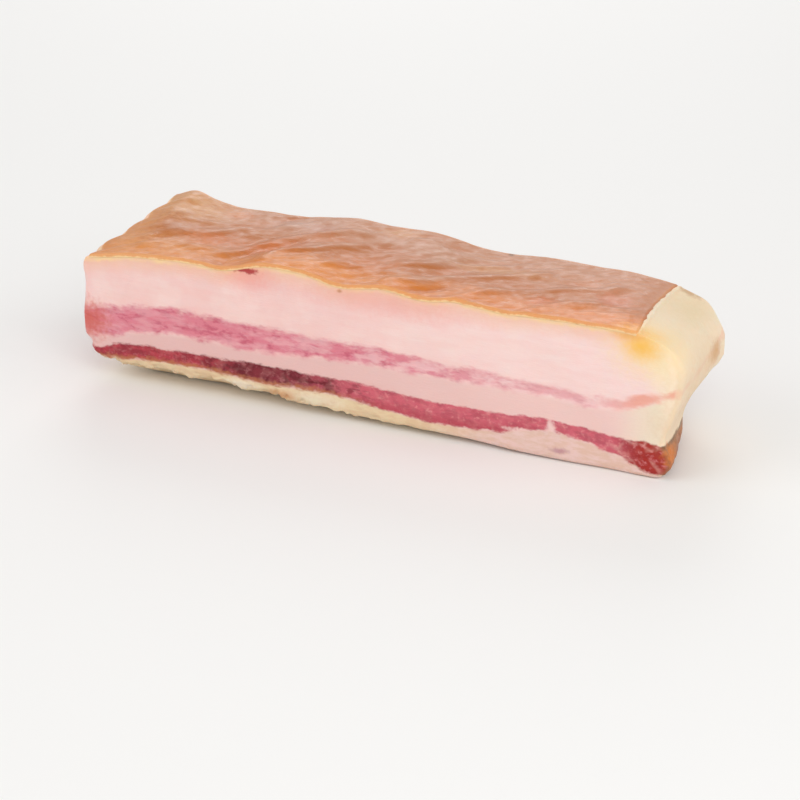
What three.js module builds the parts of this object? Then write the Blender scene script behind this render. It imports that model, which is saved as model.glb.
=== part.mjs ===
// Slab of cured pork belly, in millimetres, +Z up.
//
// One solid piece of meat lies on its bone side. The rind is on top, a thick cap of fat is under it,
// and two streaks of lean run through the whole slab with fat between and below them. The front (-Y)
// and the back (+Y) are knife cuts, so they show the streaks; +X is the end with the bare fat shoulder.
// The origin is the middle of the underside.

import * as THREE from 'three';

// ---- driving dimensions ------------------------------------------------------------------------

const DEPTH = 54;               // front cut to back cut
const HALF_LENGTH = 108;        // mean end of the slab, from the middle
const THICKNESS = 51;           // underside to rind, where the ends' profiles are drawn
const END_REACH = 46;           // how far in from an end its profile still bends the slab
const DRIFT = 7;                // how far the streaks wander along the slab from front to back

// Corner radii: crisp where the knife went, softer behind and round the fat shoulder.
const CUT_RADIUS = 1.7;
const BACK_RADIUS = 4.5;
const SHOULDER_RADIUS = 5;

// Relief of the surface.
const WRINKLE_HEIGHT = 0.9;     // folds of the rind
const WRINKLE_PITCH = 13;       // from crest to crest, across the folds
const WRINKLE_LEAN = 0.5;       // angle between the folds and the slab's length, radians
const LEAN_SINK = 0.55;         // the lean has dried back behind the cut face
const CUT_WAVE = 0.5;           // unevenness of the knife's cut
const FRAY = 1.1;               // ragged lower edge of the front, where the last fat is torn
const LIFT_DEPTH = 15;          // how far back the lifted front edge comes down on the table
const STRIP_LOSS = 1.3;         // thickness of the rind, missing past its right edge
const SCALLOP_DEPTH = 2.4;      // bays in the rind's left edge
const SCALLOP_PITCH = 27;       // from one bay to the next
const SCALLOP_START = 12;       // first point between two bays, from the front cut

// Stations along the slab, and the height of each layer's border on the front cut at them.
const STATIONS = [-108, -85, -60, -30, 0, 30, 60, 85, 106];
const BORDERS = {
  underside: [6.6, 6.5, 6.7, 4.4, 2.4, 2.0, 0.6, 0.2, 0.0],
  lowerLeanBottom: [7.6, 10.0, 9.6, 7.8, 6.6, 4.9, 9.0, 5.6, 1.0],
  lowerLeanTop: [11.3, 14.7, 15.5, 15.4, 14.9, 13.3, 14.4, 12.3, 11.4],
  upperLeanBottom: [16.4, 20.0, 21.2, 20.5, 22.8, 23.1, 22.9, 21.9, 28.6],
  upperLeanTop: [26.2, 30.0, 30.0, 29.5, 29.0, 27.2, 26.6, 25.4, 31.0],
  rind: [46.5, 49.6, 50.0, 53.0, 51.0, 51.8, 51.2, 51.0, 50.6],
};

// How much higher the rind lies at the back cut than at the front, at the same stations.
const BACK_RISE = [3.0, 4.2, 0.6, 2.0, 1.8, -1.6, -0.8, -1.6, -3.4];

// Profiles of the two ends: how far each reaches at a height, on the front and on the back cut.
const LEFT_HEIGHTS = [0, 5, 8, 12, 15, 18, 28, 36, 42, 47, 51];
const LEFT_FRONT = [-90, -98, -104, -107.6, -107.8, -110.2, -110.5, -109.6, -108.6, -106, -102.5];
const LEFT_BACK = [-97, -101, -104, -106, -107, -109, -110, -109.4, -108, -105, -100];
const RIGHT_HEIGHTS = [0, 2, 5, 9, 12, 16, 22, 28, 34, 39, 43, 46.5, 49, 51];
const RIGHT_FRONT = [103.5, 106, 107.8, 106.8, 105.4, 105.4, 106.8, 108.2, 109.6, 110.2, 109, 106.6, 102.6, 95];
const RIGHT_BACK = [95, 96.4, 98.2, 99, 100.2, 102.6, 106.4, 108.6, 109.4, 108.6, 106, 102.4, 98, 92.5];

// Mesh rows in each layer, from the underside to the rind, and divisions along and across the slab.
const LAYER_ROWS = [2, 3, 3, 3, 6];
const LENGTH_STEPS = 56;
const DEPTH_STEPS = 18;

// Colours of the surfaces.
const COLOURS = {
  rind: new THREE.Color(0xd29a6c),
  fat: new THREE.Color(0xf2d3cb),
  upperLean: new THREE.Color(0xdc8696),
  lowerLean: new THREE.Color(0xa3505a),
  shoulder: new THREE.Color(0xf0dcb4),
};

// ---- small helpers -----------------------------------------------------------------------------

const { lerp, clamp, smoothstep } = THREE.MathUtils;

/** Smooth curve through values given at rising stations (cubic Hermite, level past the ends). */
function curveThrough(stations, values, at) {
  const last = stations.length - 1;
  const place = clamp(at, stations[0], stations[last]);
  let i = 0;
  while (i < last - 1 && place > stations[i + 1]) i += 1;
  const slope = (k) => {
    const a = Math.max(k - 1, 0);
    const b = Math.min(k + 1, last);
    return (values[b] - values[a]) / (stations[b] - stations[a]);
  };
  const span = stations[i + 1] - stations[i];
  const t = (place - stations[i]) / span;
  const rise = t * t * (3 - 2 * t);
  return lerp(values[i], values[i + 1], rise)
    + span * t * (1 - t) * ((1 - t) * slope(i) - t * slope(i + 1));
}

/** Grid lines from 0 to 1 that crowd towards both ends, where the corners are rounded. */
function crowdEnds(t) {
  return lerp(t, smoothstep(t, 0, 1), 0.55);
}

/** Slow uneven wave between -1 and 1, from three sines whose lengths never fall in step. */
function ripple(s, length, phase) {
  const turn = (2 * Math.PI * s) / length;
  return 0.5 * Math.sin(turn + phase)
    + 0.3 * Math.sin(2.3 * turn + 1.7 * phase)
    + 0.2 * Math.sin(4.1 * turn + 2.9 * phase);
}

// ---- form of the slab --------------------------------------------------------------------------

/** Folds of the rind: long low ridges, a little askew to the slab, which come and go. */
function rindFold(x, y) {
  const along = x * Math.cos(WRINKLE_LEAN) + y * Math.sin(WRINKLE_LEAN);
  const across = y * Math.cos(WRINKLE_LEAN) - x * Math.sin(WRINKLE_LEAN);
  const bend = 3.2 * ripple(along, 74, 0.8);
  const ridge = Math.sin((2 * Math.PI * (across + bend)) / WRINKLE_PITCH);
  const fade = 0.6 + 0.4 * ripple(along + 0.7 * across, 58, 2.1);
  return WRINKLE_HEIGHT * ridge * fade;
}

/** Height of a layer's border at a place on the slab. */
function borderHeight(name, x, y) {
  const back = y / DEPTH;
  if (name === 'underside') {
    const torn = FRAY * ripple(x, 21, 0.4) * smoothstep(-x, -20, 30);
    const lift = Math.max(curveThrough(STATIONS, BORDERS.underside, x) + torn, 0);
    return lift * (1 - smoothstep(y, 0, LIFT_DEPTH));
  }
  if (name === 'rind') {
    const front = curveThrough(STATIONS, BORDERS.rind, x);
    const rise = curveThrough(STATIONS, BACK_RISE, x) * smoothstep(back, 0, 1);
    return front + rise + rindFold(x, y) * smoothstep(back, -0.15, 0.2);
  }
  const height = curveThrough(STATIONS, BORDERS[name], x + DRIFT * Math.sin(2.2 * back));
  return height - 2.2 * back * smoothstep(x, 60, 106);
}

/** Reach of an end at a height: its profile on the front cut runs over to the one on the back. */
function endReach(heights, front, back, y, z) {
  return lerp(
    curveThrough(heights, front, z),
    curveThrough(heights, back, z),
    smoothstep(y / DEPTH, -0.1, 1),
  );
}

/** Place along the slab, bent near each end to that end's profile. */
function bendToEnds(x, y, z) {
  const tip = 0.5 + 0.5 * Math.cos((2 * Math.PI * (y - SCALLOP_START)) / SCALLOP_PITCH);
  const scallop = SCALLOP_DEPTH * tip * smoothstep(z, 38, 48);
  const left = endReach(LEFT_HEIGHTS, LEFT_FRONT, LEFT_BACK, y, z) + HALF_LENGTH - scallop;
  const right = endReach(RIGHT_HEIGHTS, RIGHT_FRONT, RIGHT_BACK, y, z) - HALF_LENGTH;
  const nearLeft = 1 - smoothstep(x + HALF_LENGTH, 0, END_REACH);
  const nearRight = 1 - smoothstep(HALF_LENGTH - x, 0, END_REACH);
  return x + left * nearLeft + right * nearRight;
}

/** Height of a mesh row: the rows are shared out layer by layer, so they follow the streaks. */
function rowHeight(row, x, y) {
  const borders = Object.keys(BORDERS);
  let layer = 0;
  let rest = row;
  while (rest > LAYER_ROWS[layer] && layer < LAYER_ROWS.length - 1) {
    rest -= LAYER_ROWS[layer];
    layer += 1;
  }
  const low = borderHeight(borders[layer], x, y);
  const high = borderHeight(borders[layer + 1], x, y);
  return lerp(low, Math.max(high, low), rest / LAYER_ROWS[layer]);
}

/** How far a row lies inside a streak of lean: 1 in the middle of its rows, 0 in fat. */
function leanness(row) {
  const lowerMiddle = LAYER_ROWS[0] + LAYER_ROWS[1] / 2;
  const upperMiddle = LAYER_ROWS[0] + LAYER_ROWS[1] + LAYER_ROWS[2] + LAYER_ROWS[3] / 2;
  const nearest = Math.min(Math.abs(row - lowerMiddle), Math.abs(row - upperMiddle));
  return 1 - smoothstep(nearest, 0.5, 1.6);
}

/** Radius of the nearest corner. */
function cornerRadius(x, y, z) {
  const shoulder = smoothstep(x, 84, 104) * smoothstep(z, 20, 36) * (1 - smoothstep(z, 46, 50));
  const plain = lerp(CUT_RADIUS, BACK_RADIUS, smoothstep(y, DEPTH / 2, DEPTH));
  return lerp(plain, SHOULDER_RADIUS, shoulder);
}

/** Place in the slab for fractions u along, v across and a mesh row up. */
function slabPoint(u, v, row) {
  const rows = LAYER_ROWS.reduce((sum, n) => sum + n, 0);
  const nominal = lerp(-HALF_LENGTH, HALF_LENGTH, u);
  const y = DEPTH * v;
  const guess = bendToEnds(nominal, y, (THICKNESS * row) / rows);
  const z = rowHeight(row, guess, y);
  const top = borderHeight('rind', guess, y);
  const x = bendToEnds(nominal, y, (THICKNESS * z) / top);

  // Round the corners: the offset from the inner box is shortened to the radius.
  const radius = cornerRadius(x, y, z);
  const floor = borderHeight('underside', x, y);
  const left = (HALF_LENGTH + nominal) - (HALF_LENGTH - nominal) < 0;
  const toEnd = left ? HALF_LENGTH + nominal : HALF_LENGTH - nominal;
  const toCut = v < 0.5 ? y : DEPTH - y;
  const low = z - floor < top - z;
  const toSkin = low ? z - floor : top - z;
  const offset = new THREE.Vector3(
    (left ? -1 : 1) * Math.max(radius - toEnd, 0),
    (v < 0.5 ? -1 : 1) * Math.max(radius - toCut, 0),
    (low ? -1 : 1) * Math.max(radius - toSkin, 0),
  );
  const reach = offset.length();
  if (reach > radius) offset.multiplyScalar(radius / reach - 1);
  else offset.set(0, 0, 0);
  const point = new THREE.Vector3(x, y, z).add(offset);

  // The knife's wave and the dried-back lean show on the cuts; the rind's edge steps down to the fat.
  const inward = 1 - 2 * v;
  point.y += inward * (LEAN_SINK * leanness(row) * smoothstep(HALF_LENGTH - Math.abs(nominal), 0, 12));
  point.y += CUT_WAVE * ripple(x + 0.8 * z, 96, 1.1 + 2 * v);
  const pastRind = smoothstep(u, 1 - 0.6 / LENGTH_STEPS, 1) * smoothstep(row, rows - 1.5, rows);
  point.z -= STRIP_LOSS * pastRind;
  return point;
}

/** Colour of the surface at a mesh row, on the rind or on a cut or an end. */
function surfaceColour(onRind, u, row) {
  if (onRind) return COLOURS.rind;
  const lowerTop = LAYER_ROWS[0] + LAYER_ROWS[1];
  const upperTop = lowerTop + LAYER_ROWS[2] + LAYER_ROWS[3];
  if (row >= LAYER_ROWS[0] && row <= lowerTop) return COLOURS.lowerLean;
  if (row >= lowerTop + LAYER_ROWS[2] && row <= upperTop) return COLOURS.upperLean;
  return COLOURS.fat.clone().lerp(COLOURS.shoulder, smoothstep(u, 0.85, 1));
}

/** The slab: a divided box whose every vertex is carried to its place in the meat. */
function makeSlab() {
  const rows = LAYER_ROWS.reduce((sum, n) => sum + n, 0);
  const geometry = new THREE.BoxGeometry(1, 1, 1, LENGTH_STEPS, DEPTH_STEPS, rows);
  const position = geometry.attributes.position;
  const normal = geometry.attributes.normal;
  const colours = new Float32Array(position.count * 3);
  for (let i = 0; i < position.count; i += 1) {
    const u = crowdEnds(clamp(position.getX(i) + 0.5, 0, 1));
    const v = crowdEnds(clamp(position.getY(i) + 0.5, 0, 1));
    const row = clamp(Math.round((position.getZ(i) + 0.5) * rows), 0, rows);
    const point = slabPoint(u, v, row);
    position.setXYZ(i, point.x, point.y, point.z);
    surfaceColour(normal.getZ(i) > 0.5, u, row).toArray(colours, 3 * i);
  }
  geometry.setAttribute('color', new THREE.BufferAttribute(colours, 3));
  return geometry;
}

/** Puts the origin in the middle of the underside, which is levelled where the slab rests. */
function standOnOrigin(geometry) {
  geometry.computeBoundingBox();
  const middle = geometry.boundingBox.getCenter(new THREE.Vector3());
  geometry.translate(-middle.x, -middle.y, -geometry.boundingBox.min.z);
  geometry.computeVertexNormals();
  geometry.computeBoundingBox();
  return geometry;
}

// ---- the part ----------------------------------------------------------------------------------

const slab = new THREE.Mesh(
  standOnOrigin(makeSlab()),
  new THREE.MeshStandardMaterial({ vertexColors: true, roughness: 0.5, metalness: 0 }),
);
slab.name = 'pork_belly';

const group = new THREE.Group();
group.add(slab);

export default group;
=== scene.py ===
"""Looks of a slab of cured pork belly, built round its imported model.

The slab lies on its fat underside. Two meshes stand for the one solid: the meat, with its cap of
fat and its two streaks of lean, and the rind that covers the top up to the bare fat shoulder at
the +X end. The form is worked out in millimetres from the front cut (y = 0) and the table
(z = 0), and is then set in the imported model's own frame, in metres.
"""

import logging
import math
from dataclasses import dataclass, field
from enum import Enum

import bpy
import numpy as np
from mathutils import Euler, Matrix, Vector


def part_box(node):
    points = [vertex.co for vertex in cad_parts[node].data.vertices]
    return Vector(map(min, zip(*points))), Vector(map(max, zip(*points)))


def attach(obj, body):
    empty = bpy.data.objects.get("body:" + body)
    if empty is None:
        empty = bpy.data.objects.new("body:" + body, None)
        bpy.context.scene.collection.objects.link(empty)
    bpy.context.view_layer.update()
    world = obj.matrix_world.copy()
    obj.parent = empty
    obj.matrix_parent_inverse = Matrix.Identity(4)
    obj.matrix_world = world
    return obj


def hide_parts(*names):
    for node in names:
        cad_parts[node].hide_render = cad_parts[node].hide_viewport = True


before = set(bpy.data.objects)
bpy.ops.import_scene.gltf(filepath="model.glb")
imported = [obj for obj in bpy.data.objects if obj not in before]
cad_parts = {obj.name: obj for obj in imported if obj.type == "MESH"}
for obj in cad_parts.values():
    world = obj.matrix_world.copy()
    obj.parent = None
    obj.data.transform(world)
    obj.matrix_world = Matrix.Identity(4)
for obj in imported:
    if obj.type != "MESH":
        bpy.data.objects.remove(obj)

NODE = "pork_belly"
BODY = "root"
MM = 0.001
BUMP_STRENGTH = 0.35
BUMP_HEIGHT = 0.0003
CROWDING = 0.45
ORIGIN = (0.0, 0.0, 0.0)
WHITE = (1.0, 1.0, 1.0, 1.0)
LOWEST_PLACE = (-1.0, -1.0, 0.0)
RIPPLES = ((0.5, 1.0, 1.0), (0.3, 2.3, 1.7), (0.2, 4.1, 2.9))

Span = tuple[float, float]
Triple = tuple[float, float, float]
Tree = bpy.types.NodeTree
Socket = bpy.types.NodeSocket

log = logging.getLogger("pork_belly")


# ---- smooth curves, waves and noise, in millimetres --------------------------------------------


def smoothstep(value: np.ndarray, low: float, high: float) -> np.ndarray:
    """Runs smoothly from 0 at low to 1 at high."""
    t = np.clip((value - low) / (high - low), 0.0, 1.0)
    return t * t * (3.0 - 2.0 * t)


def mix(a: np.ndarray, b: np.ndarray, share: np.ndarray) -> np.ndarray:
    """Goes from a to b as share goes from 0 to 1."""
    return a + (b - a) * share


def ripple(s: np.ndarray, length: float, phase: float) -> np.ndarray:
    """Slow uneven wave between -1 and 1, from three sines that never fall in step."""
    turn = 2.0 * np.pi * s / length
    return sum(share * np.sin(pace * turn + step * phase) for share, pace, step in RIPPLES)


@dataclass(frozen=True)
class Curve:
    """Smooth curve through values at rising stations, level past its ends."""

    stations: tuple[float, ...]
    values: tuple[float, ...]

    def at(self, place: np.ndarray) -> np.ndarray:
        """Gives the curve's value at each place.

        Args:
            place: Positions along the stations.

        Returns:
            The cubic Hermite value at each position.
        """
        s = np.array(self.stations)
        v = np.array(self.values)
        last = len(s) - 1
        place = np.clip(place, s[0], s[last])
        i = np.clip(np.searchsorted(s, place, side="left") - 1, 0, last - 1)
        after = np.minimum(np.arange(last + 1) + 1, last)
        before = np.maximum(np.arange(last + 1) - 1, 0)
        slope = (v[after] - v[before]) / (s[after] - s[before])
        span = s[i + 1] - s[i]
        t = (place - s[i]) / span
        rise = t * t * (3.0 - 2.0 * t)
        bow = span * t * (1.0 - t) * ((1.0 - t) * slope[i] - t * slope[i + 1])
        return mix(v[i], v[i + 1], rise) + bow


class Grain:
    """Seeded gradient noise in space, about -1 to 1."""

    TABLE = 256
    LEVEL = 1.8

    def __init__(self, seed: int) -> None:
        """Draws the directions that the noise leans in at its lattice points."""
        draw = np.random.default_rng(seed)
        self.order = draw.permutation(self.TABLE)
        leans = draw.normal(size=(self.TABLE, 3))
        self.leans = leans / np.linalg.norm(leans, axis=1)[:, None]

    def _lean(self, cell: np.ndarray, corner: tuple[int, int, int], local: np.ndarray) -> np.ndarray:
        """Pull of one lattice corner on the points of its cell."""
        place = (cell + np.array(corner)) % self.TABLE
        key = self.order[place[:, 0]]
        key = self.order[(key + place[:, 1]) % self.TABLE]
        key = self.order[(key + place[:, 2]) % self.TABLE]
        return np.einsum("ij,ij->i", self.leans[key], local - np.array(corner))

    def at(self, points: np.ndarray, size: Triple) -> np.ndarray:
        """Gives the noise at points.

        Args:
            points: One row of x, y, z for each point, in millimetres.
            size: Length of one cell along each axis, in millimetres.

        Returns:
            One value for each point.
        """
        scaled = points / np.array(size)
        cell = np.floor(scaled).astype(int)
        local = scaled - cell
        ease = local**3 * (local * (local * 6.0 - 15.0) + 10.0)
        total = np.zeros(len(points))
        for dx in (0, 1):
            for dy in (0, 1):
                for dz in (0, 1):
                    share = np.ones(len(points))
                    for axis, side in enumerate((dx, dy, dz)):
                        share *= ease[:, axis] if side else 1.0 - ease[:, axis]
                    total += share * self._lean(cell, (dx, dy, dz), local)
        return total * self.LEVEL


@dataclass(frozen=True)
class Relief:
    """Noise with cells of one size and bumps of one height, in millimetres."""

    seed: int
    size: Triple
    height: float = 1.0

    def at(self, points: np.ndarray) -> np.ndarray:
        """Gives the relief at points."""
        return self.height * Grain(self.seed).at(points, self.size)


# ---- form of the slab, in millimetres ----------------------------------------------------------


class Border(Enum):
    """Borders between the layers, from the table up."""

    UNDERSIDE = 0
    LOWER_LEAN_BOTTOM = 1
    LOWER_LEAN_TOP = 2
    UPPER_LEAN_BOTTOM = 3
    UPPER_LEAN_TOP = 4
    RIND = 5


@dataclass(frozen=True)
class Fold:
    """One fold of the rind: a low ridge, or a hollow, along a few points (x, y) of its crest."""

    crest: tuple[tuple[float, float], ...]
    height: float
    width: float

    def at(self, x: np.ndarray, y: np.ndarray) -> np.ndarray:
        """Gives the fold's height at each place."""
        nearest = np.full(x.shape, np.inf)
        for (ax, ay), (bx, by) in zip(self.crest, self.crest[1:]):
            run_x, run_y = bx - ax, by - ay
            share = ((x - ax) * run_x + (y - ay) * run_y) / (run_x**2 + run_y**2)
            share = np.clip(share, 0.0, 1.0)
            nearest = np.minimum(nearest, np.hypot(x - ax - share * run_x, y - ay - share * run_y))
        return self.height * np.exp(-((nearest / self.width) ** 2))


FOLDS = (
    Fold(((-86, 23), (-72, 28), (-58, 33), (-48, 41)), 0.95, 4.6),
    Fold(((-58, 12), (-52, 21), (-44, 29), (-34, 36), (-22, 41), (-9, 39)), 0.85, 3.0),
    Fold(((-42, 6), (-39, 16), (-29, 22), (-16, 32)), 0.8, 2.8),
    Fold(((-21, 12), (-15, 16), (-9, 15), (2, 23), (11, 28), (15, 37)), 0.65, 2.6),
    Fold(((5, 4), (14, 11), (22, 20), (36, 28), (50, 37)), 0.95, 3.2),
    Fold(((11, 28), (21, 32), (32, 38)), 0.55, 2.6),
    Fold(((29, 2), (36, 10), (48, 18), (62, 25), (74, 34)), 0.85, 3.0),
    Fold(((55, 2), (64, 10), (74, 18)), 0.65, 2.8),
    Fold(((77, 9), (90, 18)), 0.55, 3.0),
    Fold(((-88, 10), (-76, 13), (-70, 12)), 0.6, 3.0),
    Fold(((-94, 36), (-80, 35), (-70, 39)), 0.5, 3.4),
    Fold(((-16, 46), (2, 44), (20, 42)), 0.4, 3.6),
    Fold(((52, 44), (70, 40), (88, 32)), 0.4, 3.8),
    Fold(((-51, 13), (-40, 27)), -0.75, 4.2),
    Fold(((-74, 20), (-67, 22)), -0.45, 4.6),
    Fold(((-38, 39), (-35, 42)), -0.5, 3.4),
    Fold(((-60, 40), (-55, 42)), -0.5, 4.0),
    Fold(((-12, 47), (-8, 49)), -0.45, 4.0),
    Fold(((54, 10), (60, 15)), -0.55, 3.0),
    Fold(((77, 25), (80, 23)), -0.6, 3.8),
    Fold(((64, 34), (67, 34)), -0.4, 3.2),
    Fold(((22, 30), (28, 33)), -0.4, 3.0),
)

OUTER_STATIONS = (-108, -85, -60, -30, 0, 30, 60, 85, 106)
RIND_STATIONS = (-108, -95, -81, -64, -55, -40, -26, -11, 6, 18, 32, 48, 65, 90, 106)
BACK_STATIONS = (
    (-108, -100, -92, -84, -74, -60, -50, -38, -28, -16)
    + (-4, 6, 18, 28, 42, 60, 76, 92, 106)
)
STREAK_STATIONS = (-110, -103, -96, -80, -60, -40, -20, 0, 20, 44, 65, 78, 90, 98, 108)
LEFT_HEIGHTS = (0, 5, 8, 12, 15, 18, 28, 36, 42, 47, 51)
RIGHT_HEIGHTS = (0, 2, 5, 9, 12, 16, 22, 28, 34, 39, 43, 46.5, 49, 51)


@dataclass(frozen=True)
class SlabForm:
    """Sizes and borders of the slab, and the place of every point of its surface."""

    # the block
    depth: float = 54.0
    half_length: float = 108.0
    thickness: float = 51.0
    rind_thickness: float = 1.5
    # its corners
    cut_radius: float = 1.7
    back_radius: float = 4.5
    shoulder_radius: float = 5.0
    shoulder_along: Span = (84.0, 104.0)
    shoulder_up: Span = (20.0, 36.0)
    # its ends
    end_reach: float = 46.0
    end_turn: Span = (-0.1, 1.0)
    end_tuck: float = 9.0
    tuck_across: Span = (26.0, 56.0)
    tuck_up: Span = (10.0, 25.0)
    tuck_power: float = 1.5
    rind_dip: float = 1.5
    dip_up: Span = (47.0, 51.0)
    scallop_depth: float = 2.8
    scallop_pitch: float = 27.0
    scallop_start: float = 12.0
    scallop_shares: Span = (0.85, 0.15)
    scallop_up: Span = (38.0, 48.0)
    # folds of the rind
    folds: tuple[Fold, ...] = FOLDS
    fold_bend_along: Relief = Relief(31, (19.0, 15.0, 1.0), 2.2)
    fold_bend_across: Relief = Relief(32, (17.0, 13.0, 1.0), 1.8)
    fold_level: float = 1.05
    fold_fade: Relief = Relief(33, (12.0, 9.0, 1.0), 0.45)
    fold_front: Span = (-0.1, 0.16)
    fold_back: Span = (0.84, 1.0)
    fold_back_loss: float = 0.55
    fold_end: Span = (80.0, 89.0)
    swell: Relief = Relief(34, (24.0, 16.0, 1.0), 0.3)
    wrinkle_lean: float = 0.5
    # way of the streaks towards the back and the right end
    drift: float = 7.0
    drift_turn: float = 2.2
    end_rise: float = 3.4
    rise_along: Span = (92.0, 106.0)
    sag: float = 2.2
    sag_along: Span = (60.0, 106.0)
    end_fall: float = 2.5
    fall_along: Span = (84.0, 102.0)
    fall_across: Span = (0.42, 0.92)
    fall_shares: Span = (0.15, 0.85)
    lean_sink: float = 0.2
    # long cuts and the torn lower front edge
    cut_wave: float = 0.5
    cut_wave_length: float = 96.0
    cut_wave_slant: float = 0.8
    cut_wave_phases: Span = (1.1, 2.0)
    fray: float = 1.1
    fray_length: float = 21.0
    fray_phase: float = 0.4
    fray_along: Span = (-20.0, 30.0)
    lift_depth: float = 15.0
    # heights along the front cut and the back, and the profiles of both ends
    underside: Curve = Curve(OUTER_STATIONS, (6.6, 6.5, 6.7, 4.4, 2.4, 2.0, 0.6, 0.2, 0.0))
    rind: Curve = Curve(
        RIND_STATIONS,
        (46.4, 48.6, 50.0, 50.6, 50.0, 53.4, 53.4, 50.9, 52.6, 51.2, 52.3, 51.0, 51.8, 51.6, 50.6),
    )
    rind_back: Curve = Curve(
        BACK_STATIONS,
        (
            (50.2, 51.6, 54.2, 52.0, 50.2, 50.4, 50.6, 52.0, 53.1, 52.5)
            + (52.7, 51.9, 49.5, 48.8, 49.7, 49.4, 49.2, 47.3, 46.2)
        ),
    )
    lower_bottom: Curve = Curve(
        STREAK_STATIONS,
        (8.1, 8.3, 8.5, 10.2, 10.3, 9.2, 9.6, 8.0, 6.1, 6.8, 10.6, 8.7, 5.7, 2.5, 1.0),
    )
    lower_top: Curve = Curve(
        STREAK_STATIONS,
        (11.7, 12.3, 14.3, 15.3, 15.7, 16.0, 15.4, 15.3, 13.8, 14.1, 14.7, 13.9, 12.3, 12.6, 11.9),
    )
    upper_bottom: Curve = Curve(
        STREAK_STATIONS,
        (16.9, 16.3, 18.1, 21.3, 21.4, 20.7, 22.2, 23.1, 23.1, 23.2, 23.0, 22.0, 23.0, 25.8, 30.1),
    )
    upper_top: Curve = Curve(
        STREAK_STATIONS,
        (26.4, 26.9, 28.4, 30.8, 30.3, 30.0, 29.1, 29.7, 28.1, 27.5, 26.6, 25.6, 26.5, 29.3, 31.9),
    )
    left_front: Curve = Curve(
        LEFT_HEIGHTS,
        (-90, -98, -104, -107.6, -107.8, -110.2, -110.5, -109.8, -109.2, -108.2, -105.5),
    )
    left_back: Curve = Curve(
        LEFT_HEIGHTS,
        (-97, -101, -104, -106, -107, -109, -109.6, -108.6, -106.4, -103, -98.6),
    )
    right_front: Curve = Curve(
        RIGHT_HEIGHTS,
        (103.5, 106, 107.8, 106.8, 105.4, 105.6, 107.4, 109.1, 110.2, 110.3, 109, 106.6, 102.6, 95),
    )
    right_back: Curve = Curve(
        RIGHT_HEIGHTS,
        (94.5, 96, 98, 98.6, 99.6, 101.6, 104.8, 108.6, 108.9, 107.8, 105.8, 102.0, 97.4, 90.4),
    )

    def fold(self, x: np.ndarray, y: np.ndarray) -> np.ndarray:
        """Height of the rind's folds, which bend and fade a little along their way."""
        place = np.stack([x, y, 0.0 * x], axis=1)
        bent_x = x + self.fold_bend_along.at(place)
        bent_y = y + self.fold_bend_across.at(place)
        height = sum(fold.at(bent_x, bent_y) for fold in self.folds)
        fade = self.fold_level + self.fold_fade.at(place)
        return height * fade - self.swell.height + self.swell.at(place)

    def border(self, name: Border, x: np.ndarray, y: np.ndarray) -> np.ndarray:
        """Height of a border between two layers.

        Args:
            name: The border.
            x: Places along the slab.
            y: Places across it, from the front cut.

        Returns:
            The border's height over the table at each place.
        """
        back = y / self.depth
        if name is Border.UNDERSIDE:
            torn = self.fray * ripple(x, self.fray_length, self.fray_phase)
            torn = torn * smoothstep(-x, *self.fray_along)
            lift = np.maximum(self.underside.at(x) + torn, 0.0)
            return lift * (1.0 - smoothstep(y, 0.0, self.lift_depth))
        if name is Border.RIND:
            edge = mix(self.rind.at(x), self.rind_back.at(x), smoothstep(back, 0.0, 1.0))
            near_back = self.fold_back_loss * smoothstep(back, *self.fold_back)
            spread = smoothstep(back, *self.fold_front) * (1.0 - near_back)
            spread *= 1.0 - smoothstep(x, *self.fold_end)
            return edge + self.fold(x, y) * spread
        streak = {
            Border.LOWER_LEAN_BOTTOM: self.lower_bottom,
            Border.LOWER_LEAN_TOP: self.lower_top,
            Border.UPPER_LEAN_BOTTOM: self.upper_bottom,
            Border.UPPER_LEAN_TOP: self.upper_top,
        }[name]
        height = streak.at(x + self.drift * np.sin(self.drift_turn * back))
        if name in (Border.UPPER_LEAN_BOTTOM, Border.UPPER_LEAN_TOP):
            return height + self.end_rise * back * smoothstep(x, *self.rise_along)
        height = height - self.sag * back * smoothstep(x, *self.sag_along)
        even, late = self.fall_shares
        fall = even * back + late * smoothstep(back, *self.fall_across)
        return height - self.end_fall * fall * smoothstep(x, *self.fall_along)

    def corner_radius(self, x: np.ndarray, y: np.ndarray, z: np.ndarray) -> np.ndarray:
        """Radius of the nearest corner: crisp at the cuts, softer behind and round the shoulder."""
        shoulder = smoothstep(x, *self.shoulder_along) * smoothstep(z, *self.shoulder_up)
        plain = mix(self.cut_radius, self.back_radius, smoothstep(y, self.depth / 2, self.depth))
        return mix(plain, self.shoulder_radius, shoulder)

    def bend_to_ends(self, x: np.ndarray, y: np.ndarray, z: np.ndarray) -> np.ndarray:
        """Place along the slab, bent near each end to that end's profile."""
        toward_back = smoothstep(y / self.depth, *self.end_turn)
        turn = 2.0 * np.pi * (y - self.scallop_start) / self.scallop_pitch
        even, uneven = self.scallop_shares
        tip = np.abs(np.cos(turn)) * (even + uneven * np.cos(turn))
        scallop = self.scallop_depth * tip * smoothstep(z, *self.scallop_up)
        left = mix(self.left_front.at(z), self.left_back.at(z), toward_back) + self.half_length
        right = mix(self.right_front.at(z), self.right_back.at(z), toward_back) - self.half_length
        tucked = smoothstep(y, *self.tuck_across) ** self.tuck_power
        right -= self.end_tuck * tucked * (1.0 - smoothstep(z, *self.tuck_up))
        right -= self.rind_dip * np.sin(np.pi * y / self.depth) * smoothstep(z, *self.dip_up)
        near_left = 1.0 - smoothstep(x + self.half_length, 0.0, self.end_reach)
        near_right = 1.0 - smoothstep(self.half_length - x, 0.0, self.end_reach)
        return x + (left - scallop) * near_left + right * near_right

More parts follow.
